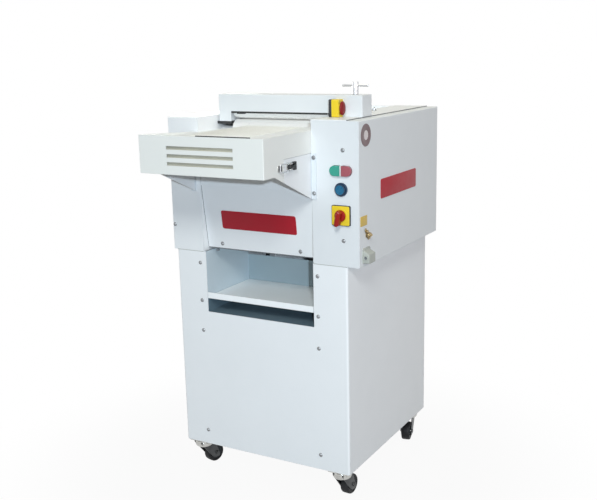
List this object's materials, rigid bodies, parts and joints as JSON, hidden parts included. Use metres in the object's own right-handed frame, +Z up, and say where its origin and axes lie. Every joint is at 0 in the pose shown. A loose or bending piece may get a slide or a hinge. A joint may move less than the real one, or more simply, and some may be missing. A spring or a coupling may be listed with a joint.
{
  "type": "dough moulder",
  "caption": "Floor-standing dough moulder: feed belt, adjustable sheeting rollers and moulding felts in a white casing with discharge tray, controls and casters.",
  "frame": {"origin": "on the floor, under the middle of the machine's overall box", "axes": "+Z up, -Y towards the operator at the infeed, +X towards the control column"},
  "size_m": [0.64, 0.804, 1.195],
  "materials": {
    "white_paint": "white powder coat",
    "frame_paint": "light grey paint",
    "roller_white": "white food-grade plastic",
    "drum_metal": "turned aluminium",
    "felt": "woven wool felt",
    "belt_rubber": "black rubber",
    "steel": "bright steel",
    "chrome": "polished chrome plate",
    "motor_iron": "grey painted casting",
    "black_plastic": "black moulded plastic",
    "grey_plastic": "light grey moulded plastic",
    "green_plastic": "green moulded plastic",
    "red_plastic": "red moulded plastic",
    "blue_plastic": "blue moulded plastic",
    "yellow_plastic": "yellow moulded plastic",
    "brass": "plain brass",
    "zinc": "zinc-plated pressed steel",
    "wheel_black": "solid black tyre"
  },
  "bodies": {
    "casing": {"cabinet_shell": "white_paint", "cabinet_rear_panel": "white_paint", "panel_screws": "steel", "discharge_recess": "white_paint", "head_frame": "frame_paint", "left_housing_cover": "white_paint", "control_column": "white_paint", "right_side_cover": "white_paint", "right_lid": "white_paint", "front_middle_panel": "white_paint", "rear_cover": "white_paint", "flange_bearings": "steel", "lower_moulding_felt": "felt", "upper_moulding_felt": "felt", "bridge_cover": "white_paint", "bridge_foot": "black_plastic", "dough_guides": "steel", "side_belt": "belt_rubber", "motor": "motor_iron", "v_belt": "belt_rubber", "contactors": "grey_plastic", "infeed_guard": "white_paint", "infeed_gussets": "white_paint", "table_plates": "white_paint", "feed_belt": "felt", "latch_fittings": "chrome", "control_plates": "grey_plastic", "estop_box": "yellow_plastic", "earth_terminal": "brass", "cable_outlet": "grey_plastic", "caster_plates": "zinc"},
    "tray": {"discharge_tray": "white_paint"},
    "carriage": {"roller_carriage": "drum_metal"},
    "upper_roller_body": {"upper_roller": "roller_white", "upper_roller_gear": "steel"},
    "lower_roller_body": {"lower_roller": "roller_white", "lower_roller_gear": "steel"},
    "lower_front_drum_body": {"lower_front_drum": "drum_metal"},
    "lower_rear_drum_body": {"lower_rear_drum": "drum_metal"},
    "upper_front_drum_body": {"upper_front_drum": "drum_metal"},
    "upper_rear_drum_body": {"upper_rear_drum": "drum_metal"},
    "feed_front_drum_body": {"feed_front_drum": "drum_metal"},
    "feed_rear_drum_body": {"feed_rear_drum": "drum_metal"},
    "motor_rotor": {"motor_pulley": "steel"},
    "handle": {"t_handle": "chrome"},
    "lever": {"latch_lever": "chrome"},
    "bail": {"latch_bail": "chrome"},
    "start_button": {"green_button": "green_plastic"},
    "stop_button": {"red_button": "red_plastic"},
    "reset": {"reset_button": "blue_plastic"},
    "main_switch": {"switch_knob": "red_plastic"},
    "emergency_stop": {"estop_mushroom": "red_plastic"},
    "fork_front_left": {"caster_fork_front_left": "zinc"},
    "wheel_front_left": {"caster_wheel_front_left": "wheel_black"},
    "fork_front_right": {"caster_fork_front_right": "zinc"},
    "wheel_front_right": {"caster_wheel_front_right": "wheel_black"},
    "fork_rear_left": {"caster_fork_rear_left": "zinc"},
    "wheel_rear_left": {"caster_wheel_rear_left": "wheel_black"},
    "fork_rear_right": {"caster_fork_rear_right": "zinc"},
    "wheel_rear_right": {"caster_wheel_rear_right": "wheel_black"}
  },
  "joints": [
    {"name": "tray_slide", "type": "slide", "parent": "casing", "child": "tray", "axis": [0, -1, 0], "range_m": [0, 0.15]},
    {"name": "drive_spin", "type": "hinge", "parent": "casing", "child": "lower_rear_drum_body", "pos_m": [-0.027, 0.292, 0.826], "axis": [1, 0, 0], "continuous": true},
    {"name": "lower_front_spin", "type": "hinge", "parent": "casing", "child": "lower_front_drum_body", "pos_m": [-0.027, -0.008, 0.786], "axis": [1, 0, 0], "continuous": true},
    {"name": "upper_rear_spin", "type": "hinge", "parent": "casing", "child": "upper_rear_drum_body", "pos_m": [-0.027, 0.292, 0.946], "axis": [1, 0, 0], "continuous": true},
    {"name": "upper_front_spin", "type": "hinge", "parent": "casing", "child": "upper_front_drum_body", "pos_m": [-0.027, -0.018, 0.891], "axis": [1, 0, 0], "continuous": true},
    {"name": "lower_roller_spin", "type": "hinge", "parent": "casing", "child": "lower_roller_body", "pos_m": [-0.027, -0.028, 1.057], "axis": [1, 0, 0], "continuous": true},
    {"name": "carriage_lift", "type": "slide", "parent": "casing", "child": "carriage", "axis": [0, 0, 1], "range_m": [0, 0.004]},
    {"name": "upper_roller_spin", "type": "hinge", "parent": "carriage", "child": "upper_roller_body", "pos_m": [-0.027, -0.028, 1.114], "axis": [1, 0, 0], "continuous": true},
    {"name": "feed_rear_spin", "type": "hinge", "parent": "casing", "child": "feed_rear_drum_body", "pos_m": [0.006, -0.088, 1.0507], "axis": [1, 0, 0], "continuous": true},
    {"name": "feed_front_spin", "type": "hinge", "parent": "casing", "child": "feed_front_drum_body", "pos_m": [0.006, -0.35, 1.0347], "axis": [1, 0, 0], "continuous": true},
    {"name": "motor_spin", "type": "hinge", "parent": "casing", "child": "motor_rotor", "pos_m": [-0.27, 0.172, 0.189], "axis": [1, 0, 0], "continuous": true},
    {"name": "handle_turn", "type": "hinge", "parent": "casing", "child": "handle", "pos_m": [0.228, -0.028, 1.176], "axis": [0, 0, 1], "range_deg": [0, 720]},
    {"name": "latch_turn", "type": "hinge", "parent": "casing", "child": "lever", "pos_m": [0.1648, -0.283, 0.991], "axis": [0, 0, -1], "range_deg": [0, 120]},
    {"name": "bail_turn", "type": "hinge", "parent": "lever", "child": "bail", "pos_m": [0.1648, -0.274, 0.991], "axis": [0, 0, 1], "range_deg": [0, 120]},
    {"name": "start_press", "type": "slide", "parent": "casing", "child": "start_button", "axis": [0, 1, 0], "range_m": [0, 0.004], "stiffness_N_per_m": 400, "springref_m": -0.003},
    {"name": "stop_press", "type": "slide", "parent": "casing", "child": "stop_button", "axis": [0, 1, 0], "range_m": [0, 0.004], "stiffness_N_per_m": 400, "springref_m": -0.003},
    {"name": "reset_press", "type": "slide", "parent": "casing", "child": "reset", "axis": [0, 1, 0], "range_m": [0, 0.004], "stiffness_N_per_m": 400, "springref_m": -0.003},
    {"name": "switch_turn", "type": "hinge", "parent": "casing", "child": "main_switch", "pos_m": [0.248, -0.178, 0.848], "axis": [0, -1, 0], "range_deg": [0, 90]},
    {"name": "stop_push", "type": "slide", "parent": "casing", "child": "emergency_stop", "axis": [-1, 0, 0], "range_m": [0, 0.0025], "stiffness_N_per_m": 800, "springref_m": -0.003},
    {"name": "swivel_front_left", "type": "hinge", "parent": "casing", "child": "fork_front_left", "pos_m": [-0.268, -0.126, 0.066], "axis": [0, 0, 1], "continuous": true},
    {"name": "roll_front_left", "type": "hinge", "parent": "fork_front_left", "child": "wheel_front_left", "pos_m": [-0.25881, -0.08913, 0.03], "axis": [-0.9703, 0.2419, 0], "continuous": true},
    {"name": "swivel_front_right", "type": "hinge", "parent": "casing", "child": "fork_front_right", "pos_m": [0.223, -0.126, 0.066], "axis": [0, 0, 1], "continuous": true},
    {"name": "roll_front_right", "type": "hinge", "parent": "fork_front_right", "child": "wheel_front_right", "pos_m": [0.22565, -0.08809, 0.03], "axis": [-0.9976, 0.0698, 0], "continuous": true},
    {"name": "swivel_rear_left", "type": "hinge", "parent": "casing", "child": "fork_rear_left", "pos_m": [-0.268, 0.37, 0.066], "axis": [0, 0, 1], "continuous": true},
    {"name": "roll_rear_left", "type": "hinge", "parent": "fork_rear_left", "child": "wheel_rear_left", "pos_m": [-0.26403, 0.33221, 0.03], "axis": [0.9945, 0.1045, 0], "continuous": true},
    {"name": "swivel_rear_right", "type": "hinge", "parent": "casing", "child": "fork_rear_right", "pos_m": [0.223, 0.37, 0.066], "axis": [0, 0, 1], "continuous": true},
    {"name": "roll_rear_right", "type": "hinge", "parent": "fork_rear_right", "child": "wheel_rear_right", "pos_m": [0.2309, 0.33283, 0.03], "axis": [0.9781, 0.2079, 0], "continuous": true}
  ],
  "couplings": [
    {"joint": "lower_front_spin", "follows": "drive_spin", "ratio": 1},
    {"joint": "upper_rear_spin", "follows": "drive_spin", "ratio": 1.25},
    {"joint": "upper_front_spin", "follows": "drive_spin", "ratio": 1.25},
    {"joint": "lower_roller_spin", "follows": "drive_spin", "ratio": 1.5385},
    {"joint": "upper_roller_spin", "follows": "drive_spin", "ratio": -1.9231},
    {"joint": "feed_rear_spin", "follows": "drive_spin", "ratio": 2},
    {"joint": "feed_front_spin", "follows": "drive_spin", "ratio": 1.1111},
    {"joint": "motor_spin", "follows": "drive_spin", "ratio": 2.8333},
    {"joint": "handle_turn", "follows": "carriage_lift", "rad_per_m": 3141.6},
    {"joint": "bail_turn", "follows": "latch_turn", "ratio": 1}
  ]
}
